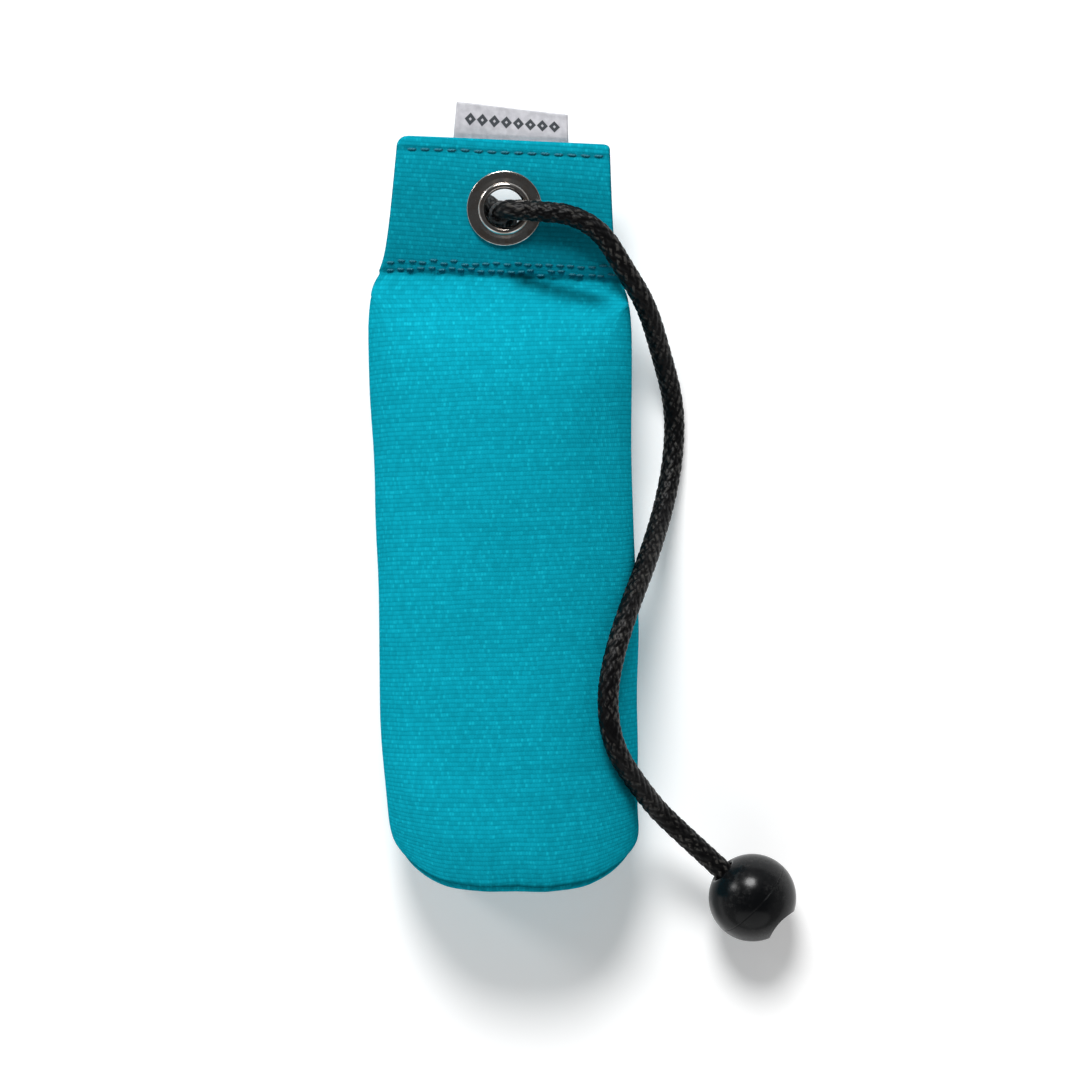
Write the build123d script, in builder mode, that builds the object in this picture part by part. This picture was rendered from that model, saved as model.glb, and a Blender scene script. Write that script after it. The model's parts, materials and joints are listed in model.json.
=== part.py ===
"""A canvas training bumper: a stuffed, round-ended tube with a flat tab, a metal eyelet,
and a braided throwing cord that ends in a two-piece moulded ball.

The bumper lies on its back. The floor is z = 0, the tab points along +Y and +X is to the
right. The origin is on the floor under the middle of the canvas body and its label.
"""

import os
from math import cos, degrees, pi, radians, sin, tan

from build123d import *

os.makedirs("parts", exist_ok=True)

# ---------------------------------------------------------------- driving dimensions (mm)
CLOTH = 1.2            # canvas thickness, with its seam folds evened out
FILL_GAP = 0.3         # slack between the canvas and what it is stuffed with

SEAM_Y = 62.5          # where the tab's base seam closes the stuffed body
SEAM_Z = 20.8          # height of the tab's middle plane at that seam
END_Y = -109.5         # where the body's cloth meets the end disc
DISC_BULGE = 1.9       # how far the end disc stands out of its seam

TAB_THICK = 3.0        # two face layers and the gussets folded in between them
TAB_RISE = 7.5         # degrees that the tab rises towards its free edge, over the knot
TAB_CORNER_R = 2.5

EYELET_X, EYELET_Y = 0.5, 81.4
HOLE_R = 5.5           # 11 mm clear hole
BARREL_R = 6.0
WASHER_R = 10.65
FLANGE_R = 10.2
LIP_R = 6.95

CORD_D = 6.0
KNOT_R = 7.6
TAIL_LEN = 11.0

BALL_D = 25.0
BORE_R = 3.35
RECESS_R = 5.3         # stopper recess in the ball's mouth
SHOULDER_H = 6.0       # depth of the recess floor, measured from the ball's middle
NOTCH_R = 11.6         # round notch across the mouth
NOTCH_AT = 10.0        # its deepest line, measured along the floor from the ball's middle
BEAD_R = 4.7
BEAD_GAP = 0.3
BEAD_LEN = 3.0

STITCH_LEN, STITCH_W, STITCH_H = 2.6, 0.7, 0.35
STITCH_END_GAP = 1.0   # canvas between one stitch and the next

# Cross-sections of the stuffed body from the seam to the end disc:
# y, middle x, half width, underside z, top z, height of the widest point, flat half width
BODY_SECTIONS = [
    (SEAM_Y, -0.70, 33.9, SEAM_Z - 1.5, SEAM_Z + 1.5, SEAM_Z, 30.0),
    (57.0, -0.70, 36.1, 12.8, 30.8, 20.6, 22.0),
    (49.0, -0.75, 37.2, 5.2, 37.2, 19.9, 17.0),
    (38.0, -0.70, 37.3, 0.8, 41.3, 19.2, 15.5),
    (24.0, -0.45, 36.9, -0.7, 43.2, 18.4, 14.5),
    (6.0, -0.05, 36.6, -0.8, 43.9, 18.0, 14.0),
    (-14.0, 0.50, 36.4, -0.8, 44.0, 18.0, 14.0),
    (-34.0, 1.10, 36.2, -0.8, 44.0, 18.0, 14.0),
    (-54.0, 1.70, 36.1, -0.8, 43.9, 18.0, 14.0),
    (-74.0, 2.40, 35.9, -0.7, 43.6, 18.0, 13.8),
    (-90.0, 3.00, 35.1, -0.4, 43.2, 18.0, 13.0),
    (-101.0, 3.35, 32.6, 1.4, 41.2, 18.4, 12.0),
    (-107.0, 3.50, 28.0, 4.0, 38.4, 19.0, 10.0),
    (END_Y, 3.50, 24.0, 6.4, 36.2, 20.0, 8.0),
]

# ---------------------------------------------------------------- shared frames
tab_tilt = radians(TAB_RISE)
tab_normal = (0, -sin(tab_tilt), cos(tab_tilt))
tab_plane = Plane(origin=(0, SEAM_Y, SEAM_Z), x_dir=(1, 0, 0), z_dir=tab_normal)


def along_tab(y):
    """Distance from the base seam to y, measured along the sloping tab."""
    return (y - SEAM_Y) / cos(tab_tilt)


eyelet_z = SEAM_Z + along_tab(EYELET_Y) * sin(tab_tilt)
eyelet_plane = Plane(origin=(EYELET_X, EYELET_Y, eyelet_z), x_dir=(1, 0, 0), z_dir=tab_normal)
eyelet_profile = Plane(origin=eyelet_plane.origin, x_dir=(1, 0, 0), z_dir=(0, -cos(tab_tilt), -sin(tab_tilt)))
eyelet_axis = Axis(eyelet_plane.origin, eyelet_plane.z_dir)

BALL_AT = Vector(71.1, -114.5, BALL_D / 2)
BALL_TILT = radians(10.0)      # the cord comes down into the ball at this slope
BALL_TURN = radians(-42.5)     # and lies along this direction on the floor
ball_dir = Vector(cos(BALL_TURN) * cos(BALL_TILT), sin(BALL_TURN) * cos(BALL_TILT), -sin(BALL_TILT))


def body_section(section, inset=0.0):
    """One closed cross-section: a half ellipse on top, a flat below, quarter ellipses between."""
    y, mid, half, low, top, wide, flat = section
    half, low, top = half - inset, low + inset, top - inset
    flat = flat - inset / 2
    with BuildSketch(Plane.XZ.offset(-y)) as outline:
        with BuildLine():
            Line((mid - flat, low), (mid + flat, low))
            EllipticalCenterArc((mid + flat, wide), half - flat, wide - low, start_angle=270, arc_size=90)
            EllipticalCenterArc((mid, wide), half, top - wide, start_angle=0, arc_size=180)
            EllipticalCenterArc((mid - flat, wide), half - flat, wide - low, start_angle=180, arc_size=90)
        make_face()
    return outline.sketch


# ---------------------------------------------------------------- canvas cover
# The tab seen square on; its last corners are the shoulder where the folded gusset sticks out.
TAB_OUTLINE = [
    (-34.4, 61.9), (-34.8, 65.0), (-29.0, 101.9), (30.2, 99.3), (32.0, 73.0), (34.4, 66.5), (33.0, 61.9),
]
BIG = 400

stuffed_sections = BODY_SECTIONS[1:]
with BuildPart() as canvas_cover:
    loft(sections=[body_section(s) for s in BODY_SECTIONS])
    with BuildSketch(tab_plane.offset(-TAB_THICK / 2)):
        with BuildLine():
            Polyline(*[(x, along_tab(y)) for x, y in TAB_OUTLINE], close=True)
        make_face()
    extrude(amount=TAB_THICK)
    free_corners = canvas_cover.edges().filter_by(eyelet_axis).group_by(Axis.Y)[-2:]
    fillet(free_corners, TAB_CORNER_R)
    loft(sections=[body_section(s, CLOTH) for s in stuffed_sections], mode=Mode.SUBTRACT)
    with Locations(eyelet_plane):
        Cylinder(BARREL_R + 0.1, 4 * TAB_THICK, mode=Mode.SUBTRACT)
    with Locations((0, 0, -BIG / 2)):
        Box(BIG, BIG, BIG, mode=Mode.SUBTRACT)
canvas_cover.part.label = "canvas_cover"
export_step(canvas_cover.part, "parts/canvas_cover.step")

# ---------------------------------------------------------------- end disc
disc_seam = BODY_SECTIONS[-1]
disc_crown = (END_Y - DISC_BULGE, 3.5, 17.5, 10.0, 33.5, 20.5, 5.5)
with BuildPart() as end_disc:
    loft(sections=[body_section(disc_seam), body_section(disc_crown)])
end_disc.part.label = "end_disc"
export_step(end_disc.part, "parts/end_disc.step")

# ---------------------------------------------------------------- stuffing
fill_inset = CLOTH + FILL_GAP
with BuildPart() as filling:
    loft(sections=[body_section(s, fill_inset) for s in stuffed_sections])
    with Locations((0, END_Y - BIG / 2 + FILL_GAP, 0)):
        Box(BIG, BIG, BIG, mode=Mode.SUBTRACT)
    with Locations((0, 0, -BIG / 2 + fill_inset)):
        Box(BIG, BIG, BIG, mode=Mode.SUBTRACT)
filling.part.label = "filling"
export_step(filling.part, "parts/filling.step")

# ---------------------------------------------------------------- woven label
LABEL_THICK = 0.8
LABEL_OUTLINE = [(-14.6, 101.35), (-13.2, 111.4), (18.5, 107.8), (18.7, 99.9)]
with BuildPart() as woven_label:
    with BuildSketch(tab_plane.offset(-LABEL_THICK / 2)):
        with BuildLine():
            Polyline(*[(x, along_tab(y)) for x, y in LABEL_OUTLINE], close=True)
        make_face()
    extrude(amount=LABEL_THICK)
woven_label.part.label = "woven_label"
export_step(woven_label.part, "parts/woven_label.step")


# ---------------------------------------------------------------- stitch rows
def stitch_spots(start, end):
    """Places of the stitches of one row, with the row's own turn, on the tab's faces."""
    run = Vector(end[0] - start[0], along_tab(end[1]) - along_tab(start[1]))
    count = int(run.length // (STITCH_LEN + STITCH_END_GAP))
    turn = degrees(run.Y / run.X)
    spots = []
    for i in range(count):
        share = (i + 0.5) / count
        spots.append(Location((start[0] + share * run.X, along_tab(start[1]) + share * run.Y), turn))
    return spots


def stitch_row(rows):
    """Small threads lying on both faces of the tab, one solid for each stitch."""
    lift = TAB_THICK / 2
    with BuildPart() as threads:
        for start, end in rows:
            for face_z in (lift, -lift - STITCH_H):
                with BuildSketch(tab_plane.offset(face_z)):
                    with Locations(*stitch_spots(start, end)):
                        SlotOverall(STITCH_LEN, STITCH_W)
                extrude(amount=STITCH_H)
    return threads.part


top_edge_stitches = stitch_row([((-28.0, 98.1), (29.3, 95.9))])
top_edge_stitches.label = "top_edge_stitches"
export_step(top_edge_stitches, "parts/top_edge_stitches.step")

tab_base_stitches = stitch_row([((-33.6, 66.6), (33.2, 65.2)), ((-33.4, 64.9), (32.6, 63.4))])
tab_base_stitches.label = "tab_base_stitches"
export_step(tab_base_stitches, "parts/tab_base_stitches.step")

# ---------------------------------------------------------------- two-piece eyelet
FACE = TAB_THICK / 2 + 0.05
BARREL_PROFILE = [
    (HOLE_R, -FACE - 0.55), (FLANGE_R, -FACE - 0.55), (FLANGE_R, -FACE), (BARREL_R, -FACE), (BARREL_R, FACE + 1.0),
    (LIP_R, FACE + 1.0), (LIP_R, FACE + 1.35), (BARREL_R + 0.3, FACE + 1.8), (HOLE_R, FACE + 1.35),
]
with BuildPart() as eyelet_barrel:
    with BuildSketch(eyelet_profile):
        with BuildLine():
            Polyline(*BARREL_PROFILE, close=True)
        make_face()
    revolve(axis=eyelet_axis)
eyelet_barrel.part.label = "eyelet_barrel"
export_step(eyelet_barrel.part, "parts/eyelet_barrel.step")

WASHER_PROFILE = [
    (BARREL_R + 0.1, FACE + 0.45), (BARREL_R + 0.1, FACE + 0.95), (7.4, FACE + 0.95), (10.2, FACE + 0.4),
    (WASHER_R, FACE), (9.7, FACE), (7.2, FACE + 0.45),
]
with BuildPart() as eyelet_washer:
    with BuildSketch(eyelet_profile):
        with BuildLine():
            Polyline(*WASHER_PROFILE, close=True)
        make_face()
    revolve(axis=eyelet_axis)
eyelet_washer.part.label = "eyelet_washer"
export_step(eyelet_washer.part, "parts/eyelet_washer.step")

# ---------------------------------------------------------------- cord
STRAIGHT_LEN = 35.0     # straight cord behind the ball's middle, where the ball slides
KNOT_AT = Vector(-3.4, 79.2, 10.9)    # the knot hangs a little aside from the hole
CORD_ROUTE = [
    Vector(-1.2, 79.9, 17.0),
    Vector(-0.4, 80.7, 31.2),
    Vector(10.2, 80.0, 33.0),
    Vector(19.6, 79.2, 33.5),
    Vector(28.2, 74.1, 33.0),
    Vector(34.3, 64.0, 30.8),
    Vector(40.8, 54.0, 22.0),
    Vector(45.3, 40.0, 10.5),
    Vector(49.2, 26.0, CORD_D / 2),
    Vector(48.9, 11.5, CORD_D / 2),
    Vector(46.1, -3.0, 7.0),
    Vector(41.5, -17.5, 21.5),
    Vector(35.2, -33.0, 36.2),
    Vector(30.9, -46.0, 41.0),
    Vector(29.2, -57.0, 42.2),
    Vector(30.6, -69.0, 41.5),
    Vector(36.2, -79.4, 34.0),
    BALL_AT - ball_dir * STRAIGHT_LEN,
    BALL_AT + ball_dir * (SHOULDER_H + BEAD_GAP),
]


def route_radii(points):
    """Arc radius at each corner: 0.45 of the shorter run over the tangent of half the turn."""
    radii = []
    for before, here, after in zip(points, points[1:], points[2:]):
        turn = radians((here - before).get_angle(after - here))
        shorter = min((here - before).length, (after - here).length)
        radii.append(0.45 * shorter / tan(turn / 2))
    return radii


cord_radii = route_radii(CORD_ROUTE)
with BuildPart() as cord:
    with BuildLine() as cord_path:
        FilletPolyline(*CORD_ROUTE, radius=cord_radii)
    with BuildSketch(Plane(origin=CORD_ROUTE[0], z_dir=CORD_ROUTE[1] - CORD_ROUTE[0])):
        Circle(CORD_D / 2)
    sweep()
cord.part.label = "cord"
export_step(cord.part, "parts/cord.step")
cord_length = sum(edge.length for edge in cord_path.edges())
print("cord radii:", [round(r, 1) for r in cord_radii])
print("cord length", round(cord_length, 1), "volume / (section x length)",
      round(cord.part.volume / (pi * CORD_D ** 2 / 4 * cord_length), 4))

# ---------------------------------------------------------------- knot and its tail behind the tab
knot_top = Plane(origin=CORD_ROUTE[0], z_dir=CORD_ROUTE[1] - CORD_ROUTE[0])
tail_dir = Vector(-0.82, -0.42, -0.34).normalized()
tail_plane = Plane(origin=KNOT_AT + tail_dir * (KNOT_R - 0.65), z_dir=tail_dir)
with BuildPart() as cord_knot:
    with Locations(KNOT_AT):
        Sphere(KNOT_R)
    split(bisect_by=knot_top, keep=Keep.BOTTOM)
    split(bisect_by=tail_plane, keep=Keep.BOTTOM)
cord_knot.part.label = "cord_knot"
export_step(cord_knot.part, "parts/cord_knot.step")

with BuildPart() as cord_tail:
    with Locations(tail_plane):
        Cylinder(CORD_D / 2, TAIL_LEN, align=(Align.CENTER, Align.CENTER, Align.MIN))
    fillet(cord_tail.edges().sort_by(Axis(tail_plane.origin, tail_dir))[-1], 1.4)
cord_tail.part.label = "cord_tail"
export_step(cord_tail.part, "parts/cord_tail.step")

# ---------------------------------------------------------------- ball: two moulded halves on the cord
ball_side = Vector(-sin(BALL_TURN), cos(BALL_TURN), 0)
ball_profile = Plane(origin=BALL_AT, x_dir=ball_side, z_dir=ball_side.cross(ball_dir))
ball_axis = Axis(BALL_AT, ball_dir)
bead_plane = Plane(origin=BALL_AT + ball_dir * (SHOULDER_H + BEAD_GAP), z_dir=ball_dir)
BALL_R = BALL_D / 2
ENTRY_H = -((BALL_R ** 2 - BORE_R ** 2) ** 0.5)
MOUTH_H = (BALL_R ** 2 - RECESS_R ** 2) ** 0.5

with BuildPart() as ball_cord_half:
    with BuildSketch(ball_profile) as entry_section:
        with BuildLine():
            Line((BORE_R, 0), (BALL_R, 0))
            RadiusArc((BALL_R, 0), (BORE_R, ENTRY_H), BALL_R)
            Line((BORE_R, ENTRY_H), (BORE_R, 0))
        make_face()
        fillet(entry_section.vertices().sort_by(Axis.Y)[0], 0.8)
    revolve(axis=ball_axis)
ball_cord_half.part.label = "ball_cord_half"
export_step(ball_cord_half.part, "parts/ball_cord_half.step")

with BuildPart() as ball_mouth_half:
    with BuildSketch(ball_profile) as mouth_section:
        with BuildLine():
            Line((BORE_R, 0), (BALL_R, 0))
            RadiusArc((BALL_R, 0), (RECESS_R, MOUTH_H), -BALL_R)
            Polyline((RECESS_R, MOUTH_H), (RECESS_R, SHOULDER_H), (BORE_R, SHOULDER_H), (BORE_R, 0))
        make_face()
        fillet(mouth_section.vertices().sort_by(Axis.Y)[-1], 0.5)
    revolve(axis=ball_axis)
    with Locations(BALL_AT + Vector(cos(BALL_TURN), sin(BALL_TURN), 0) * (NOTCH_AT + NOTCH_R)):
        Cylinder(NOTCH_R, 2 * BALL_D, mode=Mode.SUBTRACT)
ball_mouth_half.part.label = "ball_mouth_half"
export_step(ball_mouth_half.part, "parts/ball_mouth_half.step")

with BuildPart() as cord_end_bead:
    with Locations(bead_plane):
        Cylinder(BEAD_R, BEAD_LEN, align=(Align.CENTER, Align.CENTER, Align.MIN))
    fillet(cord_end_bead.edges().sort_by(ball_axis)[-1], 1.6)
cord_end_bead.part.label = "cord_end_bead"
export_step(cord_end_bead.part, "parts/cord_end_bead.step")
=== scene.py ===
# %% [markdown]
# # A canvas training bumper
# This lesson dresses a finished CAD frame. The frame gives every size and place, so nothing here
# is moved to fit. Each cloth, cord or metal piece is a surface worked out with numpy from two
# parameters and put into a mesh in one go. The object lies on its back on the floor, z = 0, with
# its tab towards +Y.

# %% Load the frame
import json
import math
import bmesh
import bpy
import numpy as np
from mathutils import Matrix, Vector
from mathutils.bvhtree import BVHTree


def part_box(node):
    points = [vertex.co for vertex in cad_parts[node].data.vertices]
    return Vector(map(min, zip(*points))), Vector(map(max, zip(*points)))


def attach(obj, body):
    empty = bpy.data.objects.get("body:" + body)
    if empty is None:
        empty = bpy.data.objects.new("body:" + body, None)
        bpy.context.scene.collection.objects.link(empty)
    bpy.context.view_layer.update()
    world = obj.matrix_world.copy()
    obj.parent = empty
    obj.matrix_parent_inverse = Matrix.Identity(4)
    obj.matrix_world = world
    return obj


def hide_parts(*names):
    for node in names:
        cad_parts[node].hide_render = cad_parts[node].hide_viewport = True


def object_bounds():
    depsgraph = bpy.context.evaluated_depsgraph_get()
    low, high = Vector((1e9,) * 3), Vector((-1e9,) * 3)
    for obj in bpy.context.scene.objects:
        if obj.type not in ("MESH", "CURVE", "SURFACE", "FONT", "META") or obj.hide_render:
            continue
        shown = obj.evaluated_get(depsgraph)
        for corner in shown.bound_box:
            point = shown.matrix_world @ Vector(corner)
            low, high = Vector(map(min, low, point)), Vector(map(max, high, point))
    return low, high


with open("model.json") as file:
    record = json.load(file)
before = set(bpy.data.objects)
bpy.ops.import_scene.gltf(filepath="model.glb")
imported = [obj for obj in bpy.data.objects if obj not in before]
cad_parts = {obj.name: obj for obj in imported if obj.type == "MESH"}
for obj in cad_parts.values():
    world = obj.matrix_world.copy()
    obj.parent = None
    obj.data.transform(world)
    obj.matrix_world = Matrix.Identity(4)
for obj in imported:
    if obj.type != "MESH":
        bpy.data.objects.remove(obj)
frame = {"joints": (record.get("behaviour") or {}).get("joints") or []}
cad_low, cad_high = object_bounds()
MM = 0.001      # shapes are worked out in millimetres, and meshes are made in metres
print("CAD box", cad_low, cad_high)


def box_mm(node):
    """Lowest and highest corner of a CAD node, in millimetres."""
    low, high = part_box(node)
    return np.array(low) / MM, np.array(high) / MM


# %% [markdown]
# ## Camera
# The object is seen straight from above. A long lens far away keeps the picture almost free of
# perspective, so the canvas sides stay parallel.

# %% Camera
CAMERA_HEIGHT = 1.5
SEEN_WIDTH = 0.3067          # metres across the picture at the height of the canvas's widest line
WIDEST_HEIGHT = 0.018
AIM_SHIFT = (-0.0122, -0.0048)      # from the middle of the object to the middle of the picture

camera_data = bpy.data.cameras.new("camera")
camera_data.sensor_width = 36
camera_data.lens = camera_data.sensor_width * CAMERA_HEIGHT / SEEN_WIDTH
camera_data.clip_end = 20
camera = bpy.data.objects.new("camera", camera_data)
bpy.context.scene.collection.objects.link(camera)
aim = (cad_low + cad_high) / 2
camera.location = (aim.x + AIM_SHIFT[0], aim.y + AIM_SHIFT[1], WIDEST_HEIGHT + CAMERA_HEIGHT)
bpy.context.scene.camera = camera
bpy.context.scene.view_settings.view_transform = "Standard"
print("camera at", tuple(round(c, 4) for c in camera.location))

# %% [markdown]
# ## Helpers for surfaces
# A surface here is a grid of points, rows along the piece and columns round it. One function
# turns any such grid into a mesh, joins its first and last column when the piece closes on
# itself, and writes its UV map, so a pattern can follow the cloth.


# %% Grid to mesh
def new_object(name, points, faces, loop_uv=None):
    """A smooth mesh object from points in millimetres and a list of faces."""
    mesh = bpy.data.meshes.new(name)
    mesh.from_pydata((points * MM).tolist(), [], faces)
    if loop_uv is not None:
        mesh.uv_layers.new(name="UVMap").data.foreach_set("uv", np.asarray(loop_uv, float).ravel())
    mesh.polygons.foreach_set("use_smooth", np.ones(len(mesh.polygons), bool))
    mesh.update()
    piece = bpy.data.objects.new(name, mesh)
    bpy.context.scene.collection.objects.link(piece)
    return piece


def grid_faces(rows, columns, closed):
    """Quads between neighbouring rows and columns; a closed grid joins its last column to its first."""
    across = columns if closed else columns - 1
    r, c = np.meshgrid(np.arange(rows - 1), np.arange(across), indexing="ij")
    after = (c + 1) % columns
    here, below = r * columns, (r + 1) * columns
    return np.stack([here + c, here + after, below + after, below + c], -1).reshape(-1, 4)


def grid_uv(u, v):
    """The UV of every quad's corners, from u and v at the grid's points, one column more if it closes."""
    corner = [(0, 0), (0, 1), (1, 1), (1, 0)]
    rows, across = u.shape[0] - 1, u.shape[1] - 1
    us = np.stack([u[a:a + rows, b:b + across] for a, b in corner], -1)
    vs = np.stack([v[a:a + rows, b:b + across] for a, b in corner], -1)
    return np.stack([us, vs], -1).reshape(rows, across, 4, 2)


def surface(name, points, closed=False, uv=None, keep=None, flip=False):
    """A piece from a grid of points; keep is a mask of the quads that stay, flip turns them round."""
    rows, columns = points.shape[:2]
    faces = grid_faces(rows, columns, closed)
    uv = None if uv is None else uv.reshape(len(faces), 4, 2)
    if keep is not None:
        faces = faces[keep.ravel()]
        uv = None if uv is None else uv[keep.ravel()]
    if flip:
        faces = faces[:, ::-1]
        uv = None if uv is None else uv[:, ::-1]
    return new_object(name, points.reshape(-1, 3), faces.tolist(), uv)


# %% Curves of change
def ease(x):
    """0 below 0, 1 above 1, and a smooth S between."""
    t = np.clip(x, 0, 1)
    return t * t * (3 - 2 * t)


def rise(x, length):
    """Starts at 0 and settles at 1 over about twice the length: one minus a falling exponential."""
    return 1 - np.exp(-np.maximum(x, 0) / length)


def hump(x, middle, width):
    """A bell: 1 at the middle, small beyond the width."""
    return np.exp(-((x - middle) / width) ** 2)


# %% [markdown]
# ## Route of the throwing cord
# The dog handler throws the bumper by this cord: about 0.29 m of it from the eyelet to the bead in
# the ball, and more in the knot. A bevelled curve would draw it quickly, but gives a plain tube,
# and a rope simulation would move it away from where it has to lie. So the cord is one smooth
# line. Its control points are the CAD route's, lowered a little where the cord lies on the eyelet
# and on the canvas, because a soft cord rests on what it crosses. The NURBS line is then read
# back as points, and the braid is carried along those.

# %% Cord route
slide_axis = np.array(frame["joints"][0]["axis"], float)
ball_dir = -slide_axis / np.linalg.norm(slide_axis)
BALL_R = 12.5
BALL_AT = np.array([71.1, -114.5, BALL_R])
STRAIGHT_LEN = 35.0         # straight cord behind the ball's middle
BEAD_START = 6.3            # the bead's flat face, in front of the ball's middle

ROUTE = np.array([
    (-1.2, 79.9, 17.0),
    (-0.4, 80.7, 30.6),
    (10.2, 80.0, 30.4),
    (19.6, 79.2, 30.6),
    (28.2, 74.1, 29.8),
    (34.3, 64.0, 28.0),
    (40.8, 54.0, 21.5),
    (45.3, 40.0, 10.5),
    (49.2, 26.0, 3.0),
    (48.9, 11.5, 3.0),
    (46.1, -3.0, 7.0),
    (41.3, -17.5, 20.5),
    (35.0, -33.0, 34.6),
    (30.9, -46.0, 39.8),
    (29.2, -57.0, 41.0),
    (30.6, -69.0, 40.4),
    (36.2, -79.4, 33.6),
    tuple(BALL_AT - ball_dir * STRAIGHT_LEN),
    tuple(BALL_AT + ball_dir * BEAD_START),
])

route_data = bpy.data.curves.new("cord_route", "CURVE")
route_data.dimensions = "3D"
route_spline = route_data.splines.new("NURBS")
route_spline.points.add(len(ROUTE) - 1)
for point, place in zip(route_spline.points, ROUTE):
    point.co = (*(place * MM), 1)
# A heavier point pulls the line to itself, so the cord is straight where the ball slides on it.
SLIDE_WEIGHT = 2.5
route_spline.points[-2].co[3] = SLIDE_WEIGHT
route_spline.order_u = 3
route_spline.use_endpoint_u = True
route_data.resolution_u = 24
route_object = bpy.data.objects.new("cord_route", route_data)
bpy.context.scene.collection.objects.link(route_object)
evaluated = route_object.evaluated_get(bpy.context.evaluated_depsgraph_get())
route_mesh = bpy.data.meshes.new_from_object(evaluated)
line = np.zeros(len(route_mesh.vertices) * 3)
route_mesh.vertices.foreach_get("co", line)
cord_line = line.reshape(-1, 3) / MM
bpy.data.objects.remove(route_object)
bpy.data.meshes.remove(route_mesh)


def even_line(points, step):
    """The same line with its points the given distance apart."""
    gone = np.r_[0, np.cumsum(np.linalg.norm(np.diff(points, axis=0), axis=1))]
    places = np.linspace(0, gone[-1], int(round(gone[-1] / step)) + 1)
    return np.stack([np.interp(places, gone, points[:, k]) for k in range(3)], -1), places


CORD_STEP = 0.3
cord_points, cord_gone = even_line(cord_line, CORD_STEP)

# %% [markdown]
# ## Braid
# Eight strands run round the cord each way and take turns on top. They could be sixteen separate
# tubes, which is heavy and hard to pack, or a bump, which leaves the cord's edge smooth. Here the
# tube's own radius carries them. It is the higher of two crossing sets of ridges: where the
# product of their cosines is positive one set is on top, and where it is negative the other is.

# %% Braided tube
STRANDS = 8
STRAND_PITCH = 2.0      # mm along the cord from one strand to the next


def braid_height(turn, along):
    """Height 0 to 1 of the strand on top, from the turn round the cord and the distance along it."""
    p = STRANDS * turn + along / STRAND_PITCH / 2
    q = STRANDS * turn - along / STRAND_PITCH / 2
    over = np.clip(1.6 * np.cos(np.pi * p) * np.cos(np.pi * q), -1, 1)
    first = np.abs(np.cos(np.pi * p)) ** 0.6 * (0.55 + 0.45 * over)
    second = np.abs(np.cos(np.pi * q)) ** 0.6 * (0.55 - 0.45 * over)
    return np.maximum(first, second)


def frames_along(points):
    """Two cross directions at each point, carried along the line so that they never twist."""
    tangent = np.gradient(points, axis=0)
    tangent /= np.linalg.norm(tangent, axis=1)[:, None]
    side = np.zeros_like(points)
    guess = np.array([0.0, 1.0, 0.0])
    for i, t in enumerate(tangent):
        guess = guess - t * (guess @ t)
        guess /= np.linalg.norm(guess)
        side[i] = guess
    return side, np.cross(tangent, side)


def braided_tube(name, points, core, relief, around=48):
    """A tube round a line: its radius is the core plus the braid's height, closed at both ends."""
    gone = np.r_[0, np.cumsum(np.linalg.norm(np.diff(points, axis=0), axis=1))]
    side, up = frames_along(points)
    turn = np.arange(around) / around
    radius = core + relief * braid_height(turn[None, :], gone[:, None])
    angle = 2 * np.pi * turn
    ring = np.cos(angle)[None, :, None] * side[:, None] + np.sin(angle)[None, :, None] * up[:, None]
    grid = points[:, None] + radius[:, :, None] * ring
    ends = [np.repeat(points[k][None, None], around, 1) for k in (0, -1)]
    grid = np.concatenate([ends[0], grid, ends[1]])
    gone = np.r_[gone[0], gone, gone[-1]]
    u = np.tile(np.arange(around + 1) / around, (len(gone), 1))
    v = np.tile(gone[:, None], (1, around + 1))
    return surface(name, grid, closed=True, uv=grid_uv(u, v * MM))


CORE_R, BRAID_RELIEF = 2.55, 0.45
cord = braided_tube("throwing_cord", cord_points, CORE_R, BRAID_RELIEF)
print("cord faces", len(cord.data.polygons))

# %% [markdown]
# ## The canvas tube
# One piece of canvas makes the tab and the body. It could be inflated by a cloth simulation, but it
# is stuffed too tight to drape, and its outline would come out by chance. Sculpting would lose the
# weave's direction. So it is worked out. Cut across, it is a loop of constant length: at
# the tab it is folded flat with a gusset tucked in at each side, and in the body the same loop is
# pushed round by the filling. Each row of the grid is such a loop, and a row just under the seam
# is a blend of the two, which leaves the dimple that a real gusset leaves.

# %% Sizes of the canvas
cover_low = box_mm("canvas_cover")[0]
stitch_low = box_mm("tab_base_stitches")[0]
SEAM_Y = stitch_low[1] - 0.6        # where the tab ends and the stuffed body begins
END_Y = cover_low[1]
TOP_Y = 100.6
SEAM_Z = 20.8                       # height of the tab's middle at the seam
TAB_RISE = math.radians(7.5)
BODY_TOP, BODY_WIDEST = 44.0, 18.0  # heights of the body's top and of its widest line
END_HALF_WIDTH = 33.2
HALF_GIRTH = 95.5                   # half the way round the cloth, the same in every row
FLOOR_GAP = 0.12
EYELET = np.array([0.5, 81.4])
CLOTH_HOLE_R = 7.6                  # the cloth's hole is hidden between flange and washer
EYELET_Z = SEAM_Z + (EYELET[1] - SEAM_Y) * math.tan(TAB_RISE)
print("seam at", round(SEAM_Y, 2), "body end at", round(END_Y, 2))


def body_middle(y):
    """The body leans right towards its far end: a rising power of the distance from the shoulder."""
    return -0.75 + 4.55 * np.clip((49 - y) / 158.5, 0, 1) ** 1.35


def end_round(y):
    """Grows from 0 at the end disc to 1 some 17 mm up the body, as a superellipse corner."""
    e = np.clip((y - END_Y) / 17, 0, 1)
    return (1 - (1 - e) ** 2.4) ** 0.7


def body_half_width(y):
    """Half width of the stuffed body seen from above."""
    d = SEAM_Y - y
    full = 34.2 + 3.3 * rise(d, 5) - 1.2 * rise(d - 15, 50) - 1.0 * ease((-70 - y) / 40)
    return END_HALF_WIDTH + (full - END_HALF_WIDTH) * end_round(y)


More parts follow.
